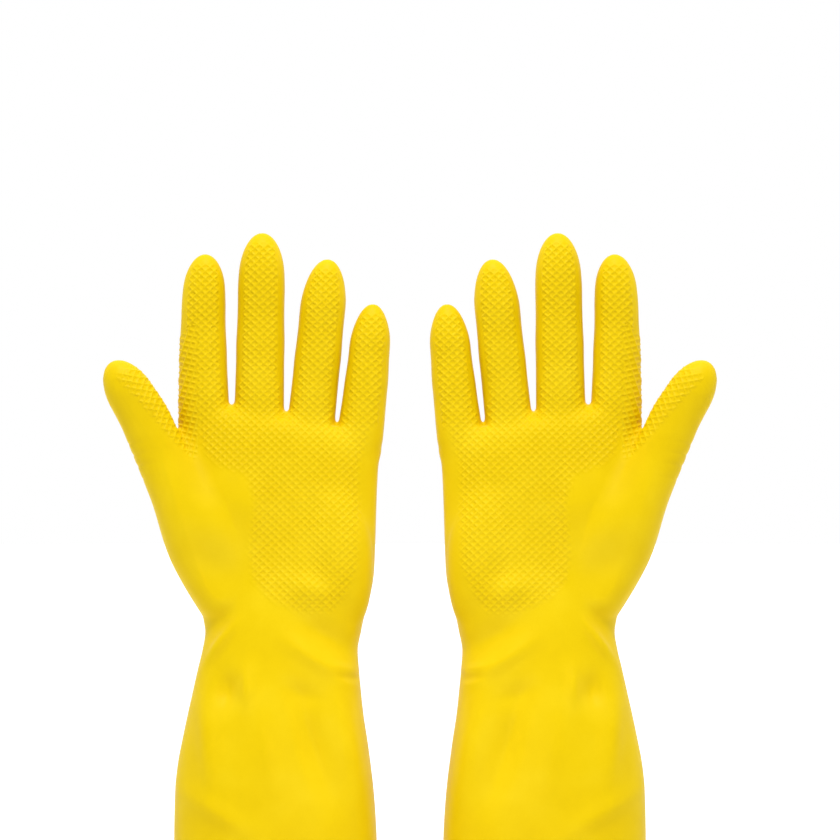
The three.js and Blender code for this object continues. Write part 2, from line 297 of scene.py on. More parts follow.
@dataclass(frozen=True)
class FlockFinish:
    """Cotton flock on the inside: matt, pale and short-haired."""

    name: str = "cotton_flock"
    deep: tuple[float, float, float] = (0.62, 0.48, 0.14)
    pale: tuple[float, float, float] = (0.82, 0.71, 0.32)

    def material(self) -> bpy.types.Material:
        """Builds the material."""
        shader = Shader(self.name)
        place = shader.attribute("rest_place").outputs["Vector"]
        hairs = shader.noise(place, 2.2, 5.0, 0.75)
        clumps = shader.noise(place, 0.25, 3.0)
        tint = shader.math("ADD", shader.math("MULTIPLY", hairs, 0.6), shader.math("MULTIPLY", clumps, 0.4))
        colour = shader.ramp(tint, [(0.35, self.deep), (0.65, self.pale)])
        shader.feed(shader.surface.inputs["Base Color"], colour)
        shader.feed(shader.surface.inputs["Roughness"], 0.95)
        shader.feed(shader.surface.inputs["Specular IOR Level"], 0.15)
        shader.feed(shader.surface.inputs["Sheen Weight"], 0.35)
        shader.feed(shader.surface.inputs["Normal"], shader.bump(hairs, 0.7, 0.0003))
        return shader.material


@dataclass(frozen=True)
class FloorFinish:
    """A plain pale floor, lit from beneath where it runs back to the backdrop."""

    name: str = "pale_floor"
    colour: tuple[float, float, float] = (0.82, 0.82, 0.82)
    glow: float = 0.55
    glow_from: float = -0.05
    glow_to: float = 0.33

    def material(self) -> bpy.types.Material:
        """Builds the material."""
        shader = Shader(self.name)
        shader.feed(shader.surface.inputs["Base Color"], (*self.colour, 1.0))
        shader.feed(shader.surface.inputs["Roughness"], 0.9)
        shader.feed(shader.surface.inputs["Specular IOR Level"], 0.1)
        shader.feed(shader.surface.inputs["Emission Color"], (1.0, 1.0, 1.0, 1.0))
        parts = shader.node("ShaderNodeSeparateXYZ")
        shader.feed(parts.inputs[0], shader.node("ShaderNodeTexCoord").outputs["Object"])
        ramp = shader.node("ShaderNodeMapRange", interpolation_type="SMOOTHSTEP")
        shader.feed(ramp.inputs["Value"], parts.outputs["Y"])
        shader.feed(ramp.inputs["From Min"], self.glow_from)
        shader.feed(ramp.inputs["From Max"], self.glow_to)
        shader.feed(ramp.inputs["To Max"], self.glow)
        shader.feed(shader.surface.inputs["Emission Strength"], ramp.outputs["Result"])
        return shader.material


# ---- Forms that melt together into a glove ----


def oval(
    middle: Array, across: Array, through: Array, half: float, deep: float, power: float, sides: int
) -> Array:
    """One ring of points round a middle: an oval that `power` makes squarer.

    Args:
        middle: its middle.
        across: the direction of its half width.
        through: the direction of its half depth.
        half: its half width.
        deep: its half depth.
        power: 2 for an ellipse, more for squarer shoulders.
        sides: how many points it has.

    Returns:
        The points.
    """
    turn = np.linspace(0, 2 * math.pi, sides, endpoint=False)
    wide = np.sign(np.cos(turn)) * np.abs(np.cos(turn)) ** (2 / power)
    thick = np.sign(np.sin(turn)) * np.abs(np.sin(turn)) ** (2 / power)
    return middle + half * wide[:, None] * across + deep * thick[:, None] * through


def loft(rings: list[Array]) -> tuple[Array, list[tuple[int, ...]]]:
    """A closed form over rings of equal count.

    Args:
        rings: the rings, from one end to the other.

    Returns:
        Its points and its faces.
    """
    sides = len(rings[0])
    points = np.concatenate([*rings, [rings[0].mean(0)], [rings[-1].mean(0)]])
    faces: list[tuple[int, ...]] = []
    for r in range(len(rings) - 1):
        for i in range(sides):
            j = (i + 1) % sides
            faces.append((r * sides + i, r * sides + j, (r + 1) * sides + j, (r + 1) * sides + i))
    first, last = len(points) - 2, len(points) - 1
    top = (len(rings) - 1) * sides
    for i in range(sides):
        j = (i + 1) % sides
        faces.append((first, j, i))
        faces.append((last, top + i, top + j))
    return points, faces


U, Y, Z = np.eye(3)


@dataclass(frozen=True)
class Stall:
    """A finger's stall: a round-ended tube that leans and curves towards the palm."""

    name: str
    root_u: float
    tip_u: float
    crotch: float
    root_half: float
    tip_half: float
    dome: float
    bow: float
    sway: float = 0.0
    knuckle: float = 0.2
    depth_share: float = 0.89

    @property
    def tip_z(self) -> float:
        """The height of its tip."""
        return node_top(f"{self.name}_tip")

    def middle(self, z: Array) -> Array:
        """The middle of the stall at a height, as u and y.

        Args:
            z: the heights.

        Returns:
            One row of u and y for each height.
        """
        share = (np.asarray(z, float) - self.crotch) / (self.tip_z - self.crotch)
        u = self.root_u + (self.tip_u - self.root_u) * share
        u = u + self.sway * np.sin(math.pi * np.clip(share, 0, 1))
        return np.stack([u, -self.bow * np.maximum(0, share) ** 2], -1)

    def half(self, z: Array) -> Array:
        """The stall's half width at a height, its dome included."""
        z = np.asarray(z, float)
        share = np.clip((z - self.crotch) / (self.tip_z - self.crotch), 0, 1)
        body = self.root_half + (self.tip_half - self.root_half) * share
        for fold in ("middle", "tip"):
            away = (z - joint_place(f"{self.name}_{fold}_bend")[2]) / 6.0
            body = body + self.knuckle * np.exp(-away * away)
        body = body - 2.5 * smooth_step(-z, -self.crotch + 6.0, -self.crotch + 18.0)
        down = np.clip((self.tip_z - z) / self.dome, 0, 1)
        return body * np.sqrt(np.clip(1 - (1 - down) ** 2, 0, 1))

    def form(self) -> tuple[Array, list[tuple[int, ...]]]:
        """The stall's closed form, with its foot inside the palm."""
        start = self.crotch - 20.0
        dome_z = self.tip_z - self.dome
        rise = self.dome * np.sin(np.linspace(0, math.pi / 2, 22))[:-1]
        heights = [*np.linspace(start, dome_z, 50), *(dome_z + rise[1:])]
        rings = []
        for z in heights:
            u, y = self.middle(z)
            half = float(self.half(z))
            deep = half * self.depth_share
            rings.append(oval(np.array([u, y, z]), U, Y, half, deep, 2.15, 48))
        return loft(rings)


@dataclass(frozen=True)
class Section:
    """One section of the cuff and the hand."""

    z: float
    inner: float
    outer: float
    deep: float
    raised: float = 0.0


@dataclass(frozen=True)
class Pad:
    """A rounded swelling of the hand inside the glove."""

    place: tuple[float, float, float]
    reach: tuple[float, float, float]
    lean: float = 0.0

    def form(self) -> tuple[Array, list[tuple[int, ...]]]:
        """The pad's closed form, an ellipsoid that leans towards the thumb."""
        turn = math.radians(self.lean)
        up = np.array([math.sin(turn), 0.0, math.cos(turn)])
        across = np.array([math.cos(turn), 0.0, -math.sin(turn)])
        rings = []
        for angle in np.linspace(-math.pi / 2, math.pi / 2, 24)[1:-1]:
            middle = np.array(self.place) + self.reach[2] * math.sin(angle) * up
            shrink = math.cos(angle)
            rings.append(oval(middle, across, Y, self.reach[0] * shrink, self.reach[1] * shrink, 2.0, 40))
        return loft(rings)


@dataclass(frozen=True)
class Thumb:
    """The thumb, from the heel of the hand to its tip, along a line of chosen points above the wrist."""

    line: tuple[tuple[float, float, float], ...] = (
        (13.0, 0.0, -2.0),
        (19.2, -1.0, 10.0),
        (33.2, -4.0, 39.0),
        (46.0, -6.0, 67.0),
        (55.9, -7.4, 89.0),
        (60.3, -8.2, 99.0),
        (65.6, -9.0, 108.0),
    )
    halves: tuple[float, ...] = (9.0, 13.3, 16.3, 12.8, 11.8, 11.5, 10.9)
    deeps: tuple[float, ...] = (13.0, 16.3, 16.5, 13.2, 11.0, 10.4, 9.7)
    dome: float = 19.5

    def axis(self) -> Array:
        """The direction that the thumb's last part points in."""
        ahead = np.array(self.line[-1]) - np.array(self.line[-2])
        return ahead / np.linalg.norm(ahead)

    def form(self) -> tuple[Array, list[tuple[int, ...]]]:
        """The thumb's closed form."""
        stations = np.linspace(0, 1, len(self.line))
        fine = np.linspace(0, 1, 45)
        knots = np.array(self.line) + np.array([0.0, 0.0, WRIST_Z])
        bend = np.stack([spline(stations, knots[:, k], fine) for k in range(3)], -1)
        half = spline(stations, np.array(self.halves), fine)
        deep = spline(stations, np.array(self.deeps), fine)
        ahead = np.gradient(bend, axis=0)
        ahead /= np.linalg.norm(ahead, axis=1)[:, None]
        rings = []
        for middle, along, h, d in zip(bend, ahead, half, deep):
            rings.append(self.ring(middle, along, h, d, 2.15))
        for angle in np.linspace(0, math.pi / 2, 20)[1:-1]:
            middle = bend[-1] + ahead[-1] * self.dome * math.sin(angle)
            shrink = math.cos(angle)
            rings.append(self.ring(middle, ahead[-1], half[-1] * shrink, deep[-1] * shrink, 2.1))
        return loft(rings)

    @staticmethod
    def ring(middle: Array, along: Array, half: float, deep: float, power: float) -> Array:
        """One ring of the thumb, square to its line."""
        across = np.array([along[2], 0.0, -along[0]])
        return oval(middle, across / np.linalg.norm(across), Y, half, deep, power, 48)


def spline(knots: Array, values: Array, at: Array) -> Array:
    """A smooth curve through values that doesn't overshoot them.

    Args:
        knots: where the values are, rising.
        values: one value for each knot.
        at: where to read the curve.

    Returns:
        The curve's values.
    """
    steps = np.diff(knots)
    slopes = np.diff(values) / steps
    tangents = np.zeros_like(values, dtype=float)
    tangents[0], tangents[-1] = slopes[0], slopes[-1]
    for i in range(1, len(values) - 1):
        a, b = slopes[i - 1], slopes[i]
        tangents[i] = 0.0 if a * b <= 0 else 2 * a * b / (a + b)
    i = np.clip(np.searchsorted(knots, at, side="right") - 1, 0, len(steps) - 1)
    t = (at - knots[i]) / steps[i]
    return (
        values[i] * (1 + 2 * t) * (1 - t) ** 2
        + steps[i] * tangents[i] * t * (1 - t) ** 2
        + values[i + 1] * t * t * (3 - 2 * t)
        + steps[i] * tangents[i + 1] * t * t * (t - 1)
    )


STALLS = (
    Stall("index", 33.5, 32.6, 233.6, 11.6, 9.1, 16.5, 4.0, 0.6),
    Stall("middle", 7.9, 6.4, 232.0, 11.4, 10.3, 20.0, 5.0),
    Stall("ring", -16.3, -23.5, 227.0, 10.9, 10.1, 22.0, 4.0, -0.1),
    Stall("little", -38.9, -44.3, 221.0, 10.7, 8.5, 19.0, 3.0, -0.5),
)

# Measured sections from the mouth to the webs, closer together than the shape needs.
HAND = (
    Section(0.0, -46.9, 46.9, 31.5),
    Section(33.0, -46.1, 47.1, 31.0),
    Section(44.0, -45.5, 46.9, 30.4),
    Section(55.0, -44.6, 46.5, 29.7),
    Section(66.0, -43.3, 45.4, 28.8),
    Section(77.0, -41.8, 43.3, 27.6),
    Section(88.0, -40.1, 41.0, 26.4),
    Section(99.0, -38.9, 38.5, 25.0),
    Section(110.0, -37.9, 36.0, 23.4),
    Section(118.0, -37.4, 34.1, 22.4),
    Section(126.5, -38.9, 32.8, 21.6),
    Section(132.0, -40.0, 33.6, 21.0),
    Section(143.0, -43.1, 35.2, 19.6),
    Section(154.0, -44.9, 36.8, 18.0),
    Section(165.0, -45.4, 38.4, 17.0),
    Section(187.0, -46.1, 43.0, 15.6),
    Section(205.0, -46.9, 44.6, 14.5, 2.0),
    Section(215.0, -48.3, 45.2, 13.2, 5.0),
    Section(221.0, -48.4, 44.6, 12.0, 7.0),
    Section(225.0, -46.0, 43.0, 8.6, 7.0),
)

# Two swellings of the palm, then the webs between the fingers.
PADS = (
    Pad((-27.0, -4.5, WRIST_Z + 36.0), (17.5, 14.8, 40.0), 3.0),
    Pad((30.0, -5.7, WRIST_Z + 43.0), (15.0, 15.8, 29.0), 26.0),
    Pad((20.5, -1.6, WEB_Z - 7.4), (4.5, 7.0, 7.5), 0.0),
    Pad((-4.3, -1.4, WEB_Z - 10.6), (4.5, 7.0, 7.5), -3.0),
    Pad((-27.4, -1.3, WEB_Z - 22.5), (4.5, 6.6, 7.5), -5.0),
)


def hand_form() -> tuple[Array, list[tuple[int, ...]]]:
    """The closed form of the cuff and the hand, without the stalls."""
    knots = np.array([s.z for s in HAND])
    heights = np.linspace(HAND[0].z, HAND[-1].z, 150)
    keys = ("inner", "outer", "deep", "raised")
    curves = {k: spline(knots, np.array([getattr(s, k) for s in HAND]), heights) for k in keys}
    rings = []
    for i, z in enumerate(heights):
        inner, outer = curves["inner"][i], curves["outer"][i]
        half = (outer - inner) / 2
        across = np.array([1.0, 0.0, curves["raised"][i] / half])
        middle = np.array([(inner + outer) / 2, 0.0, z])
        rings.append(oval(middle, across, Y, half, curves["deep"][i], 2.4, 128))
    return loft(rings)


# ---- Creases, wrinkles and grip scales ----


@dataclass(frozen=True)
class Crease:
    """A soft ridge or hollow on one face of the glove."""

    u: float
    z: float
    long: float
    wide: float
    lean: float
    height: float
    on_palm: bool = True

    def rise(self, points: Array, normals: Array) -> Array:
        """How far it lifts each point.

        Args:
            points: the points.
            normals: their normals.

        Returns:
            The lift along each normal, in millimetres.
        """
        turn = math.radians(self.lean)
        du, dz = points[:, 0] - self.u, points[:, 2] - self.z
        along = du * math.sin(turn) + dz * math.cos(turn)
        aside = du * math.cos(turn) - dz * math.sin(turn)
        facing = -normals[:, 1] if self.on_palm else normals[:, 1]
        soft = np.exp(-((along / self.long) ** 2) - (aside / self.wide) ** 2)
        return self.height * soft * smooth_step(facing, -0.1, 0.5)


@dataclass(frozen=True)
class SideNotch:
    """A short wrinkle across one edge of the glove."""

    u: float
    z: float
    wide: float
    lean: float
    height: float

    def rise(self, points: Array, normals: Array) -> Array:
        """How far it lifts each point.

        Args:
            points: the points.
            normals: their normals, unused because it runs round the edge.

        Returns:
            The lift along each normal, in millimetres.
        """
        turn = math.radians(self.lean)
        du, dz = points[:, 0] - self.u, points[:, 2] - self.z
        across = dz * math.cos(turn) - du * math.sin(turn)
        along = du * math.cos(turn) + dz * math.sin(turn)
        return self.height * np.exp(-((across / self.wide) ** 2) - (along / 7.0) ** 2)


CREASES = (
    # the heel of the hand bulges over the wrist, with a hollow and a fold under it
    Crease(-16.0, 147.0, 10.0, 5.5, 75.0, 2.2),
    Crease(-23.0, 125.5, 14.0, 6.5, 58.0, -3.3),
    Crease(-19.0, 114.0, 16.0, 4.0, 55.0, 2.0),
    Crease(-31.0, 111.0, 7.0, 1.8, 76.0, 0.6),
    Crease(-33.0, 106.0, 6.5, 1.7, 80.0, -0.9),
    # the thumb's heel, and the sharp fold that runs down from it
    Crease(22.0, 189.0, 17.0, 12.0, 45.0, 3.2),
    Crease(29.0, 158.0, 16.0, 11.0, 45.0, -3.6),
    Crease(25.0, 133.0, 9.0, 4.5, -48.0, -1.8),
    Crease(25.5, 121.5, 11.0, 2.6, -33.0, 2.6),
    # the dimple, and the swelling round it
    Crease(22.3, 101.0, 7.4, 4.6, 0.0, -3.0),
    Crease(13.0, 103.0, 9.0, 3.0, 0.0, 1.8),
    # the cuff's long soft folds
    Crease(30.5, 79.0, 22.0, 5.0, 4.0, 2.6),
    Crease(-33.0, 77.0, 27.0, 5.5, 11.0, 2.4),
    Crease(-18.0, 76.0, 25.0, 6.0, 17.0, -3.4),
    Crease(-13.0, 99.0, 9.0, 5.0, 70.0, -1.8),
    Crease(3.0, 70.0, 20.0, 6.0, 8.0, 1.4),
    Crease(27.0, 46.0, 18.0, 5.0, 60.0, 1.7),
    # a shallow hollow down the palm
    Crease(4.0, 168.0, 24.0, 8.0, 4.0, -1.2),
    # the back: knuckles, and folds over the wrist
    Crease(32.0, 212.0, 8.0, 7.5, 0.0, 1.3, False),
    Crease(8.0, 214.0, 8.5, 7.5, 0.0, 1.5, False),
    Crease(-16.0, 210.0, 8.0, 7.0, 0.0, 1.3, False),
    Crease(-37.0, 203.0, 7.5, 6.5, 0.0, 1.1, False),
    Crease(-4.0, 132.0, 26.0, 3.4, 92.0, -0.9, False),
    Crease(2.0, 121.0, 24.0, 4.0, 86.0, 0.8, False),
    Crease(20.0, 92.0, 26.0, 6.0, 14.0, 0.9, False),
    Crease(-16.0, 84.0, 28.0, 6.5, -12.0, 0.9, False),
    Crease(2.0, 64.0, 30.0, 7.0, 2.0, -0.9, False),
)

NOTCHES = (
    SideNotch(66.5, 213.0, 0.9, -10.0, -0.25),
    SideNotch(64.5, 208.0, 0.9, -10.0, -0.3),
    SideNotch(62.5, 203.0, 1.0, -10.0, -0.3),
    SideNotch(60.0, 197.0, 1.0, -10.0, -0.2),
)


@dataclass(frozen=True)
class Grip:
    """Raised scales on the palm side: a net of thin ridges round shallow diamond cells."""

    cell_wide: float = 3.8
    cell_high: float = 3.5
    height: float = 0.5
    palm: tuple[tuple[float, float], ...] = (
        (35.5, 216.0),
        (33.0, 208.5),
        (27.0, 202.5),
        (14.5, 198.0),
        (11.3, 187.0),
        (12.2, 175.0),
        (13.6, 163.0),
        (11.0, 150.0),
        (3.5, 141.2),
        (-10.8, 135.5),
        (-26.4, 135.2),
        (-33.0, 143.0),
        (-38.9, 157.0),
        (-39.6, 203.0),
        (-45.0, 222.0),
        (-30.0, 232.0),
        (0.0, 243.0),
        (38.5, 243.0),
    )

    def mask(self, points: Array, normals: Array, thumb: Thumb) -> Array:
        """Where the scales are.

        Args:
            points: the points.
            normals: their normals.
            thumb: the thumb, which has a strip of its own.

        Returns:
            From 0, smooth, to 1, full scales.
        """
        faces_palm = smooth_step(-normals[:, 1], 0.45, 0.7)
        inside = self.palm_mask(points)
        for stall in STALLS:
            middle = stall.middle(points[:, 2])[:, 0]
            aside = np.abs(points[:, 0] - middle)
            width = np.maximum(stall.half(points[:, 2]), 1.0)
            strip = smooth_step(-aside, -0.72 * width - 0.5, -0.72 * width + 0.7)
            strip *= smooth_step(points[:, 2], stall.crotch - 4.0, stall.crotch + 4.0)
            strip *= smooth_step(-points[:, 2], -stall.tip_z + 3.5, -stall.tip_z + 6.5)
            inside = np.maximum(inside, strip)
        on_thumb = self.thumb_mask(points, thumb)
        faces_thumb = smooth_step(-normals[:, 1], -0.05, 0.25)
        return np.maximum(inside * faces_palm, on_thumb * faces_thumb)

    def palm_mask(self, points: Array) -> Array:
        """The patch on the palm, soft at its edge."""
        corners = np.array(self.palm)
        u, z = points[:, 0], points[:, 2]
        inside = np.zeros(len(points), bool)
        near = np.full(len(points), 1e9)
        for a, b in zip(corners, np.roll(corners, -1, 0)):
            crosses = (a[1] > z) != (b[1] > z)
            with np.errstate(divide="ignore", invalid="ignore"):
                at = (b[0] - a[0]) * (z - a[1]) / (b[1] - a[1]) + a[0]
            inside ^= crosses & (u < at)
            edge = b - a
            share = np.clip(((u - a[0]) * edge[0] + (z - a[1]) * edge[1]) / (edge @ edge), 0, 1)
            near = np.minimum(near, np.hypot(u - a[0] - share * edge[0], z - a[1] - share * edge[1]))
        signed = np.where(inside, near, -near)
        return smooth_step(signed, -1.5, 3.5)

    def thumb_place(self, points: Array, thumb: Thumb) -> tuple[Array, Array]:
        """Places on the thumb: along it from its last knot, and across it, positive outwards."""
        axis = thumb.axis()
        origin = np.array(thumb.line[-1]) + np.array([0.0, 0.0, WRIST_Z])
        away = points - origin
        across = np.array([axis[2], 0.0, -axis[0]])
        return away @ axis, away @ across

    def thumb_mask(self, points: Array, thumb: Thumb) -> Array:
        """The strip on the inner half of the thumb."""
        along, across = self.thumb_place(points, thumb)
        strip = smooth_step(along, -40.0, -34.0) * smooth_step(-along, -15.0, -11.0)
        edge = np.interp(along, [-40.0, -20.0, 0.0, 12.0], [-9.5, -5.0, -1.5, 1.5])
        return strip * smooth_step(-across, -edge - 0.8, -edge + 1.0) * (points[:, 0] > 36.0)

    def ridges(self, points: Array, thumb: Thumb) -> Array:
        """The net's height, from 0 in a cell to 1 on a ridge.

        Args:
            points: the points.
            thumb: the thumb, whose net follows its own line.

        Returns:
            One height for each point.
        """
        u, z = points[:, 0].copy(), points[:, 2].copy()
        along, across = self.thumb_place(points, thumb)
        turned = self.thumb_mask(points, thumb) > 0
        u[turned], z[turned] = across[turned], along[turned]
        a = u / self.cell_wide + z / self.cell_high
        b = u / self.cell_wide - z / self.cell_high
        return np.maximum(self.wave(a), self.wave(b))

    @staticmethod
    def wave(place: Array) -> Array:
        """One family of ridges, a ridge at each whole number."""
        return (0.5 + 0.5 * np.cos(2 * math.pi * place)) ** 4


# ---- The skin ----


@dataclass
class Skin:
    """A glove's outer surface as plain arrays: points, and faces of any number of corners."""

    points: Array
    faces: list[tuple[int, ...]]
    base: Array = field(default_factory=lambda: np.zeros((0, 3)))
    base_normals: Array = field(default_factory=lambda: np.zeros((0, 3)))
    now_normals: Array = field(default_factory=lambda: np.zeros((0, 3)))
    ridge: Array = field(default_factory=lambda: np.zeros(0))

    def corners(self) -> tuple[Array, Array]:
        """Every face corner: the face it belongs to, and its point."""
        counts = np.array([len(f) for f in self.faces])
        owner = np.repeat(np.arange(len(self.faces)), counts)
        flat = np.fromiter((i for f in self.faces for i in f), int, counts.sum())
        return owner, flat

    def rounds(self) -> tuple[Array, Array, Array]:
        """Every face corner: its face, its point, and the next point round that face."""
        owner, flat = self.corners()
        starts = np.searchsorted(owner, np.arange(len(self.faces)))
        following = np.append(flat[1:], 0)
        ends = np.append(starts[1:], len(flat)) - 1
        following[ends] = flat[starts]
        return owner, flat, following

    def face_normals(self) -> Array:
        """Each face's normal, its length twice the face's area."""
        owner, flat, following = self.rounds()
        crossed = np.cross(self.points[flat], self.points[following])
        return np.stack([np.bincount(owner, crossed[:, k], len(self.faces)) for k in range(3)], -1)

    def normals(self) -> Array:
        """Each point's normal."""
        owner, flat = self.corners()
        faces = self.face_normals()[owner]
        total = np.stack([np.bincount(flat, faces[:, k], len(self.points)) for k in range(3)], -1)
        return total / np.maximum(np.linalg.norm(total, axis=1), 1e-12)[:, None]

    def soften(self, rounds: int, strength: float, where: Array | None = None) -> None:
        """Draws each point towards its neighbours.

        Args:
            rounds: how many times.
            strength: how far, as a share.
            where: a share of that for each point.
        """
        _, flat, following = self.rounds()
        count = np.bincount(flat, minlength=len(self.points)).astype(float)
        share = strength if where is None else (strength * where)[:, None]
        for _ in range(rounds):
            ahead = self.points[following]
            near = np.stack([np.bincount(flat, ahead[:, k], len(self.points)) for k in range(3)], -1)
            self.points = self.points + share * (near / count[:, None] - self.points)


def melted(forms: list[tuple[Array, list[tuple[int, ...]]]], voxel: float) -> Skin:
    """Melts closed forms into one skin.

    Args:
        forms: the closed forms.
        voxel: the size of the skin's faces, in millimetres.

    Returns:
        The skin.
    """
    points, faces, start = [], [], 0
    for form_points, form_faces in forms:
        points.append(form_points)
        faces.extend(tuple(i + start for i in face) for face in form_faces)
        start += len(form_points)
    mesh = bpy.data.meshes.new("melting")
    mesh.from_pydata(np.concatenate(points).tolist(), [], faces)
    thing = bpy.data.objects.new("melting", mesh)
    bpy.context.scene.collection.objects.link(thing)
    remesh = thing.modifiers.new("melt", "REMESH")
    remesh.mode = "VOXEL"
    remesh.voxel_size = voxel
    evaluated = thing.evaluated_get(bpy.context.evaluated_depsgraph_get())
    done = bpy.data.meshes.new_from_object(evaluated)
    flat = np.zeros(len(done.vertices) * 3)
    done.vertices.foreach_get("co", flat)
    skin = Skin(flat.reshape(-1, 3), [tuple(p.vertices) for p in done.polygons])
    bpy.data.objects.remove(thing)
    bpy.data.meshes.remove(mesh)
    bpy.data.meshes.remove(done)
    return skin


def to_work(skin: Skin) -> bmesh.types.BMesh:
    """A skin as a mesh that can be cut and split."""
    mesh = bpy.data.meshes.new("work")
    mesh.from_pydata(skin.points.tolist(), [], skin.faces)
    work = bmesh.new()
    work.from_mesh(mesh)
    bpy.data.meshes.remove(mesh)
    return work


def from_work(work: bmesh.types.BMesh) -> Skin:
    """The skin of a worked mesh, which is freed."""
    work.verts.index_update()
    points = np.array([v.co[:] for v in work.verts])
    faces = [tuple(v.index for v in f.verts) for f in work.faces]
    work.free()
    return Skin(points, faces)


@dataclass(frozen=True)
class Bend:
    """A part of the skin over a fold, between the body before `start` and the one after `end`."""

    zone: str
    before: str
    after: str
    start: tuple[float, float, float]
    end: tuple[float, float, float]
    film_node: str
    lining_node: str | None = None


@dataclass
class Parting:
    """Where the skin is parted, and which part each face belongs to."""

    wrist_low: float = WRIST_Z - 28.0
    wrist_high: float = WRIST_Z + 28.0
    mouth: float = 2.2
    web_gap: float = 1.4
    thumb_lean: tuple[float, float] = (0.667, 0.746)
    thumb_cut_from: float = 40.0
    thumb_zone_from: float = 46.4
    beside_stall: float = 1.6

    def finger_planes(self, stall: Stall) -> list[float]:
        """The heights at which a stall is parted: above the web, and half way between its folds."""
        folds = [float(joint_place(f"{stall.name}_{k}_bend")[2]) for k in ("root", "middle", "tip")]
        high_web = {"index": 233.6, "middle": 233.6, "ring": 230.2, "little": 221.0}[stall.name]
        return [high_web + self.web_gap, (folds[0] + folds[1]) / 2, (folds[1] + folds[2]) / 2]

    def finger_end(self, stall: Stall) -> float:
        """The upper end of the part of a stall that lies over its tip fold."""
        low = self.finger_planes(stall)[2]
        fold = float(joint_place(f"{stall.name}_tip_bend")[2])
        return fold + (fold - low)

    def thumb_normal(self) -> Array:
        """The direction across the thumb's partings."""
        return np.array([self.thumb_lean[0], 0.0, self.thumb_lean[1]])

    def thumb_planes(self) -> list[Array]:
        """A point on each of the thumb's partings, and on the plane where the part over its tip fold ends."""
        web = np.array([45.3, 0.0, 222.6]) + self.thumb_normal() * 0.8
        middle = np.array([56.8, 0.0, WRIST_Z + 90.0])
        first = middle + self.thumb_normal() * ((web - middle) @ self.thumb_normal())
        return [first + self.thumb_normal() * step for step in (0.0, 10.0, 24.0)]

    def bends(self) -> list[Bend]:
        """Every part that bends, with the bodies it joins and the nodes it stands for."""
        low, high = (0.0, 0.0, self.wrist_low), (0.0, 0.0, self.wrist_high)
        parts = [Bend("wrist", "cuff", "hand", low, high, "wrist_fold")]
        for stall in STALLS:
            heights = [*self.finger_planes(stall), self.finger_end(stall)]
            bodies = ["hand", *(f"{stall.name}_{zone}" for zone in ("root", "middle", "tip"))]
            for i in range(3):
                lining = f"{stall.name}_lining" if i == 0 else None
                u = stall.root_u
                ends = [(u, 0.0, heights[i]), (u, 0.0, heights[i + 1])]
                parts.append(Bend(bodies[i + 1], bodies[i], bodies[i + 1], *ends, bodies[i + 1], lining))
        planes = [tuple(float(v) for v in p) for p in self.thumb_planes()]
        ends = planes[0], planes[1]
        parts.append(Bend("thumb_root", "hand", "thumb_root", *ends, "thumb_root", "thumb_lining"))
        parts.append(Bend("thumb_tip", "thumb_root", "thumb_tip", planes[1], planes[2], "thumb_tip"))
        return parts

    def cut(self, skin: Skin) -> Skin:
        """Gives the skin an edge along every parting, and opens its mouth.

        Args:
            skin: the skin.

        Returns:
            The cut skin.
        """
        work = to_work(skin)
        up = Vector((0.0, 0.0, 1.0))
        self.slice(work, Vector((0.0, 0.0, self.mouth)), up, -1e3, 1e3, clear=True)
        for height in (self.wrist_low, self.wrist_high):
            self.slice(work, Vector((0.0, 0.0, height)), up, -1e3, 1e3)
        for stall in STALLS:
            for height in self.finger_planes(stall):
                middle = float(stall.middle(height)[0])
                reach = float(stall.half(height)) + self.beside_stall
                self.slice(work, Vector((middle, 0.0, height)), up, middle - reach, middle + reach)
        for point in self.thumb_planes()[:2]:
            self.slice(work, Vector(point), Vector(self.thumb_normal()), self.thumb_cut_from, 1e3)
        return from_work(work)

    @staticmethod
    def slice(
        work: bmesh.types.BMesh,
        point: Vector,
        normal: Vector,
        low_u: float,
        high_u: float,
        clear: bool = False,
    ) -> None:
        """Cuts the faces near a plane along it.

        Args:
            work: the mesh.
            point: a point on the plane.
            normal: the plane's normal.
            low_u: the least u of the faces that are cut.
            high_u: the greatest.
            clear: whether what lies behind the plane goes away.
        """
        near = 1e3 if clear else 4.0
        faces = [
            f
            for f in work.faces
            if abs((f.calc_center_median() - point).dot(normal)) < near
            and low_u < f.calc_center_median().x < high_u
        ]
        edges = {e for f in faces for e in f.edges}
        verts = {v for f in faces for v in f.verts}
        bmesh.ops.bisect_plane(
            work,
            geom=[*verts, *edges, *faces],
            dist=0.02,
            plane_co=point,
            plane_no=normal,
            clear_inner=clear,
        )

    def zones(self, skin: Skin) -> Array:
        """The part that each face belongs to.

        Args:
            skin: the cut skin.

        Returns:
            One name for each face.
        """
        owner, flat = skin.corners()
        count = np.bincount(owner).astype(float)
        middle = np.stack([np.bincount(owner, skin.points[flat, k]) for k in range(3)], -1) / count[:, None]
        names = np.full(len(skin.faces), "hand", dtype=object)
        names[middle[:, 2] < self.wrist_high] = "wrist"
        names[middle[:, 2] < self.wrist_low] = "cuff"
        for stall in STALLS:
            u = stall.middle(middle[:, 2])[:, 0]
            mine = np.abs(middle[:, 0] - u) < stall.half(middle[:, 2]) + self.beside_stall
            for height, zone in zip(self.finger_planes(stall), ("root", "middle", "tip")):
                names[mine & (middle[:, 2] > height)] = f"{stall.name}_{zone}"
        for point, zone in zip(self.thumb_planes()[:2], ("root", "tip")):
            ahead = (middle - point) @ self.thumb_normal()
            names[(ahead > 0) & (middle[:, 0] > self.thumb_zone_from)] = f"thumb_{zone}"
        return names


# ---- The glove's pieces ----


@dataclass(frozen=True)
class Wall:
    """One layer of the glove's wall, between two depths under the drawn surface."""

    layer: Layer
    outside: float
    inside: float


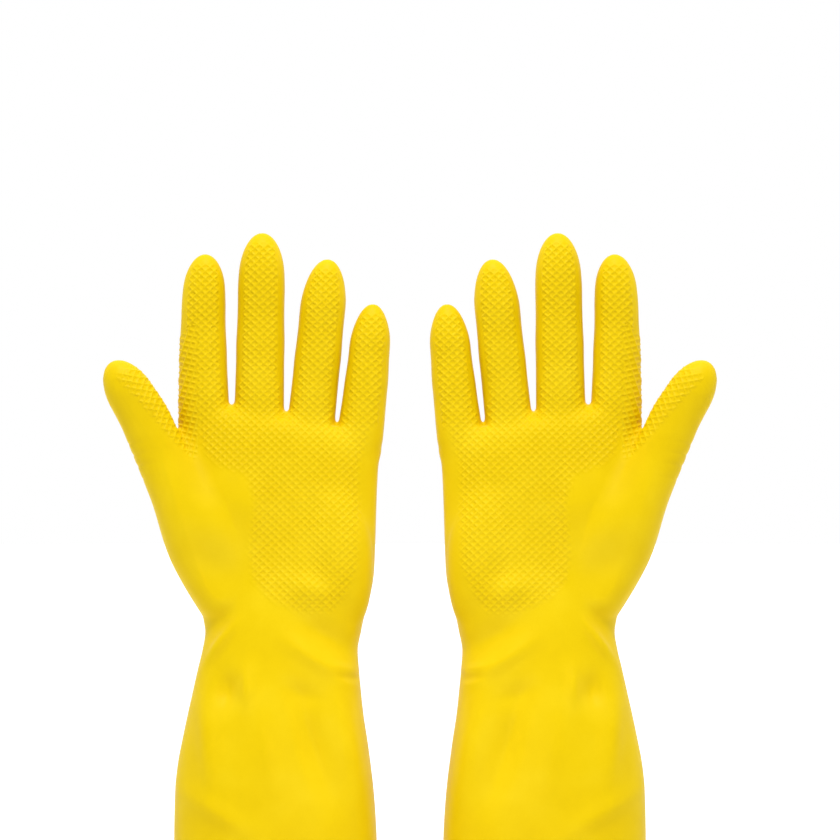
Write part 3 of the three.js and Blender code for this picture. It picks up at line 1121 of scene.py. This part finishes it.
@dataclass(frozen=True)
class Drawing:
    """The surface that a glove's layers are measured from."""

    parting: Parting
    grip: Grip
    thumb: Thumb
    voxel: float = 0.8
    melt_rounds: int = 7
    flat_rounds: int = 60
    heel_rounds: int = 200
    heel_line: tuple[tuple[float, float], ...] = ((23.0, 152.0), (41.0, 207.0))

    def plain(self) -> Skin:
        """Melts the glove's forms together, creases the skin and parts it."""
        forms = [hand_form(), self.thumb.form(), *(s.form() for s in STALLS), *(p.form() for p in PADS)]
        skin = melted(forms, self.voxel)
        skin.soften(self.melt_rounds, 0.5)
        flat = smooth_step(np.abs(skin.normals()[:, 1]), 0.35, 0.75)
        flat *= smooth_step(-skin.points[:, 2], -WEB_Z - 6.0, -WEB_Z + 4.0)
        flat *= smooth_step(skin.points[:, 2], WRIST_Z - 4.0, WRIST_Z + 16.0)
        skin.soften(self.flat_rounds, 0.5, flat)
        skin.soften(self.heel_rounds, 0.5, self.thumb_root(skin))
        normals = skin.normals()
        lift = sum(c.rise(skin.points, normals) for c in (*CREASES, *NOTCHES))
        lift = lift * smooth_step(skin.points[:, 2], 4.0, 16.0)
        skin.points = skin.points + normals * lift[:, None]
        skin = self.parting.cut(skin)
        return self.measured(skin)

    def thumb_root(self, skin: Skin) -> Array:
        """How near each point is to the line where the thumb's heel rises out of the palm, from 0 to 1."""
        low, high = (np.array(end) for end in self.heel_line)
        along = (high - low) / np.linalg.norm(high - low)
        place = skin.points[:, [0, 2]] - low
        run = np.clip(place @ along, 0, np.linalg.norm(high - low))
        away = np.linalg.norm(place - run[:, None] * along, axis=1)
        return smooth_step(-away, -11.0, -3.0) * smooth_step(-skin.normals()[:, 1], 0.3, 0.6)

    @staticmethod
    def measured(skin: Skin) -> Skin:
        """Keeps the drawn surface, its normals and level ridges beside the points."""
        skin.base, skin.base_normals = skin.points.copy(), skin.normals()
        skin.now_normals = skin.base_normals
        skin.ridge = np.zeros(len(skin.points))
        return skin

    def embossed(self, plain: Skin) -> Skin:
        """Raises the grip's ridges on a finer copy of the skin.

        Args:
            plain: the smooth skin.

        Returns:
            The embossed skin.
        """
        skin = self.measured(self.refined(plain))
        mask = self.grip.mask(skin.points, skin.base_normals, self.thumb)
        skin.ridge = self.grip.ridges(skin.points, self.thumb) * mask
        skin.points = skin.points + skin.base_normals * (self.grip.height * skin.ridge)[:, None]
        skin.now_normals = skin.normals()
        return skin

    def refined(self, skin: Skin) -> Skin:
        """Splits the faces that carry scales into four.

        Args:
            skin: the skin.

        Returns:
            The refined skin.
        """
        mask = self.grip.mask(skin.points, skin.normals(), self.thumb) > 0.02
        work = to_work(skin)
        work.verts.ensure_lookup_table()
        edges = {e for f in work.faces if any(mask[v.index] for v in f.verts) for e in f.edges}
        bmesh.ops.subdivide_edges(work, edges=list(edges), cuts=1, use_grid_fill=True)
        return from_work(work)


@dataclass
class Glove:
    """One glove of the pair."""

    side: Side
    parting: Parting
    latex: bpy.types.Material
    flock: bpy.types.Material

    def body(self, name: str) -> str:
        """The name of one of this glove's bodies or nodes."""
        return f"{self.side.value}_{name}"

    def placed(self, points: Array) -> Array:
        """Moves points from the glove's own frame into the scene.

        Args:
            points: the points, in millimetres.

        Returns:
            The points, in metres.
        """
        moved = points * MM
        moved[:, 0] = self.side.sign * (moved[:, 0] + GLOVE_MIDDLE * MM)
        return moved

    def directed(self, normals: Array) -> Array:
        """Turns directions from the glove's own frame into the scene's."""
        turned = normals.copy()
        turned[:, 0] *= self.side.sign
        return turned

    def wall_piece(self, name: str, skin: Skin, faces: list[tuple[int, ...]], wall: Wall) -> bpy.types.Object:
        """Makes one closed piece of the wall: its outside, its inside, and the rims that join them.

        Args:
            name: the piece's name.
            skin: the skin that it is part of.
            faces: its faces on that skin.
            wall: the layer.

        Returns:
            The new object.
        """
        used = sorted({i for f in faces for i in f})
        index = {old: new for new, old in enumerate(used)}
        count = len(used)
        outer = skin.points[used] - skin.base_normals[used] * wall.outside
        inner = skin.base[used] - skin.base_normals[used] * wall.inside
        outer_normals = skin.now_normals[used]
        inner_normals = -skin.base_normals[used]
        shell = [tuple(index[i] for i in f) for f in faces]
        seen = dict.fromkeys((a, b) for face in shell for a, b in zip(face, (*face[1:], face[0])))
        rims = [(b, a, a + count, b + count) for a, b in seen if (b, a) not in seen]
        inside = [tuple(i + count for i in reversed(f)) for f in shell]
        all_faces = [*shell, *inside, *rims]
        if self.side is Side.LEFT:
            all_faces = [tuple(reversed(f)) for f in all_faces]
        mesh = bpy.data.meshes.new(name)
        points = self.placed(np.concatenate([outer, inner]))
        mesh.from_pydata(points.tolist(), [], all_faces)
        mesh.polygons.foreach_set("use_smooth", np.ones(len(mesh.polygons), bool))
        self.store(mesh, "rest_place", np.concatenate([skin.base[used], skin.base[used] + INSIDE_SHIFT]))
        self.store(mesh, "grip_ridge", np.concatenate([skin.ridge[used], np.zeros(count)]))
        self.shade(mesh, self.directed(np.concatenate([outer_normals, inner_normals])), len(rims))
        piece = bpy.data.objects.new(name, mesh)
        bpy.context.scene.collection.objects.link(piece)
        mesh.materials.append(self.latex if wall.layer is Layer.FILM else self.flock)
        return piece

    @staticmethod
    def store(mesh: bpy.types.Mesh, name: str, values: Array) -> None:
        """Keeps a value or a vector for every point of a mesh."""
        if values.ndim == 1:
            kept = mesh.attributes.new(name, "FLOAT", "POINT")
            kept.data.foreach_set("value", values.astype(np.float32))
        else:
            kept = mesh.attributes.new(name, "FLOAT_VECTOR", "POINT")
            kept.data.foreach_set("vector", values.astype(np.float32).ravel())

    @staticmethod
    def shade(mesh: bpy.types.Mesh, normals: Array, rims: int) -> None:
        """Shades a piece as part of the whole skin, so that no parting shows.

        Args:
            mesh: the piece's mesh, whose last faces are its rims.
            normals: one normal for each point.
            rims: how many rim faces there are.
        """
        corner_points = np.zeros(len(mesh.loops), int)
        mesh.loops.foreach_get("vertex_index", corner_points)
        corner_normals = normals[corner_points]
        if rims:
            flat = np.zeros(len(mesh.polygons) * 3)
            mesh.polygons.foreach_get("normal", flat)
            own = np.repeat(flat.reshape(-1, 3)[-rims:], 4, 0)
            corner_normals[-4 * rims:] = own
        mesh.normals_split_custom_set(corner_normals.tolist())

    def wall(self, skin: Skin, wall: Wall) -> None:
        """Makes every piece of one layer.

        Args:
            skin: the layer's skin.
            wall: the layer.
        """
        names = self.parting.zones(skin)
        groups: dict[str, list[tuple[int, ...]]] = {}
        for name, face in zip(names, skin.faces):
            groups.setdefault(name, []).append(face)
        is_film = wall.layer is Layer.FILM
        for zone in ("cuff", "hand"):
            piece = self.wall_piece(self.body(f"{zone}_{wall.layer.suffix}"), skin, groups[zone], wall)
            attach(piece, self.body(zone))
            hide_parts(self.body(zone if is_film else f"{zone}_lining"))
            LOG.info("%s: %d faces", piece.name, len(piece.data.polygons))
        for bend in self.parting.bends():
            name = self.body(f"{bend.zone}_{wall.layer.suffix}")
            piece = self.wall_piece(name, skin, groups[bend.zone], wall)
            start, end = self.placed(np.array([bend.start, bend.end]))
            self.body(bend.before)
            self.body(bend.after)
            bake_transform(piece)
            stands_for = bend.film_node if is_film else bend.lining_node
            if stands_for:
                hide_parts(self.body(stands_for))
            LOG.info("%s: %d faces", piece.name, len(piece.data.polygons))

    def rolled_edge(self) -> None:
        """Makes the rolled edge of the cuff: a bead with slight unevenness, flattened where it stands."""
        steps, sides = 220, 20
        centre_z = BEAD_RADIUS - BEAD_FOOT
        turn = np.linspace(0, 2 * math.pi, steps, endpoint=False)
        line = oval(np.array([0.0, 0.0, centre_z]), U, Y, CUFF_HALF, CUFF_DEEP, 2.4, steps)
        ahead = np.roll(line, -1, 0) - np.roll(line, 1, 0)
        out = np.stack([ahead[:, 1], -ahead[:, 0], np.zeros(steps)], -1)
        out /= np.linalg.norm(out, axis=1)[:, None]
        thick = BEAD_RADIUS * (0.965 + 0.02 * np.sin(5 * turn + 0.7) + 0.015 * np.sin(13 * turn))
        points = []
        for k in range(sides):
            angle = 2 * math.pi * k / sides
            roll = 1.0 + 0.05 * math.cos(3 * angle)
            ring = line + out * (thick * roll * math.cos(angle))[:, None]
            ring[:, 2] = np.maximum(0.0, ring[:, 2] + thick * roll * math.sin(angle))
            points.append(ring)
        cloud = np.stack(points, 1).reshape(-1, 3)
        faces = []
        for i in range(steps):
            for k in range(sides):
                j, m = (i + 1) % steps, (k + 1) % sides
                faces.append((i * sides + k, j * sides + k, j * sides + m, i * sides + m))
        if self.side is Side.LEFT:
            faces = [tuple(reversed(f)) for f in faces]
        mesh = bpy.data.meshes.new(self.body("rolled_edge"))
        mesh.from_pydata(self.placed(cloud).tolist(), [], faces)
        mesh.polygons.foreach_set("use_smooth", np.ones(len(mesh.polygons), bool))
        self.store(mesh, "rest_place", cloud)
        self.store(mesh, "grip_ridge", np.zeros(len(cloud)))
        piece = bpy.data.objects.new(mesh.name, mesh)
        bpy.context.scene.collection.objects.link(piece)
        mesh.materials.append(self.latex)
        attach(piece, self.body("cuff"))
        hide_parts(self.body("cuff_bead"))
        LOG.info("%s: %d faces", piece.name, len(faces))


# ---- The studio ----


@dataclass(frozen=True)
class Lamp:
    """A soft square lamp."""

    name: str
    place: tuple[float, float, float]
    aim: tuple[float, float, float]
    size: float
    power: float

    def light(self) -> None:
        """Puts the lamp in the scene."""
        data = bpy.data.lights.new(self.name, "AREA")
        data.shape, data.size, data.energy = "SQUARE", self.size, self.power
        lamp = bpy.data.objects.new(self.name, data)
        lamp.location = self.place
        lamp.visible_camera = False
        aim = Vector(self.aim) - Vector(self.place)
        lamp.rotation_euler = aim.to_track_quat("-Z", "Y").to_euler()
        bpy.context.scene.collection.objects.link(lamp)


@dataclass(frozen=True)
class Studio:
    """A white studio: a backdrop, a dim front, a lamp above, a low one between the gloves, a floor."""

    backdrop: float = 1.0
    front: float = 0.04
    above: float = 0.12
    lamps: tuple[Lamp, ...] = (
        Lamp("key", (0.0, -0.8, 1.5), (0.0, 0.0, 0.2), 0.3, 18.0),
        Lamp("between", (0.0, -0.2, 0.08), (0.0, 0.0, 0.06), 0.05, 0.04),
    )
    camera_away: float = 2.4
    view_wide: float = 0.3864
    aim: tuple[float, float] = (0.0046, 0.224)

    def build(self) -> None:
        """Builds the studio."""
        bpy.context.scene.view_settings.view_transform = "Standard"
        self.surround()
        for lamp in self.lamps:
            lamp.light()
        self.floor()
        self.camera()

    def surround(self) -> None:
        """Lights the studio from all round: white behind the gloves, dim in front, brighter above."""
        world = bpy.data.worlds.new("surround")
        world.use_nodes = True
        tree = world.node_tree
        towards = tree.nodes.new("ShaderNodeTexCoord")
        parts = tree.nodes.new("ShaderNodeSeparateXYZ")
        tree.links.new(towards.outputs["Generated"], parts.inputs[0])
        levels = []
        for axis, low, high, dim, bright in (
            ("Y", -0.86, -0.05, self.front, self.backdrop),
            ("Z", 0.3, 0.9, 0.0, self.above),
        ):
            ramp = tree.nodes.new("ShaderNodeMapRange")
            ramp.interpolation_type = "SMOOTHSTEP"
            tree.links.new(parts.outputs[axis], ramp.inputs["Value"])
            for key, value in (("From Min", low), ("From Max", high), ("To Min", dim), ("To Max", bright)):
                ramp.inputs[key].default_value = value
            levels.append(ramp.outputs["Result"])
        total = tree.nodes.new("ShaderNodeMath")
        for socket, level in zip(total.inputs, levels):
            tree.links.new(level, socket)
        background = tree.nodes["Background"]
        background.inputs["Color"].default_value = (1.0, 1.0, 1.0, 1.0)
        tree.links.new(total.outputs[0], background.inputs["Strength"])
        bpy.context.scene.world = world

    def floor(self) -> None:
        """Lays the floor, a wide disc."""
        work = bmesh.new()
        bmesh.ops.create_circle(work, cap_ends=True, segments=96, radius=7.0)
        mesh = bpy.data.meshes.new("floor")
        work.to_mesh(mesh)
        work.free()
        mesh.materials.append(FloorFinish().material())
        floor = bpy.data.objects.new("floor", mesh)
        bpy.context.scene.collection.objects.link(floor)

    def camera(self) -> None:
        """Sets the camera level in front of the palms."""
        data = bpy.data.cameras.new("camera")
        data.lens = data.sensor_width * self.camera_away / self.view_wide
        camera = bpy.data.objects.new("camera", data)
        camera.location = (self.aim[0], -self.camera_away, self.aim[1])
        camera.rotation_euler = (math.pi / 2, 0.0, 0.0)
        bpy.context.scene.collection.objects.link(camera)
        bpy.context.scene.camera = camera


def main() -> None:
    """Builds the studio and both gloves."""
    logging.basicConfig(level=logging.INFO, format="%(message)s")
    Studio().build()
    drawing = Drawing(Parting(), Grip(), Thumb())
    plain = drawing.plain()
    skins = {
        Wall(Layer.FILM, outside=0.0, inside=FILM): drawing.embossed(plain),
        Wall(Layer.LINING, outside=LINING_OUTSIDE, inside=LINING_INSIDE): plain,
    }
    latex, flock = LatexFinish().material(), FlockFinish().material()
    gloves = [Glove(side, drawing.parting, latex, flock) for side in Side]
    for wall, skin in skins.items():
        LOG.info("%s skin: %d points", wall.layer.suffix, len(skin.points))
        for glove in gloves:
            glove.wall(skin, wall)
    for glove in gloves:
        glove.rolled_edge()


if __name__ == "__main__":
    main()
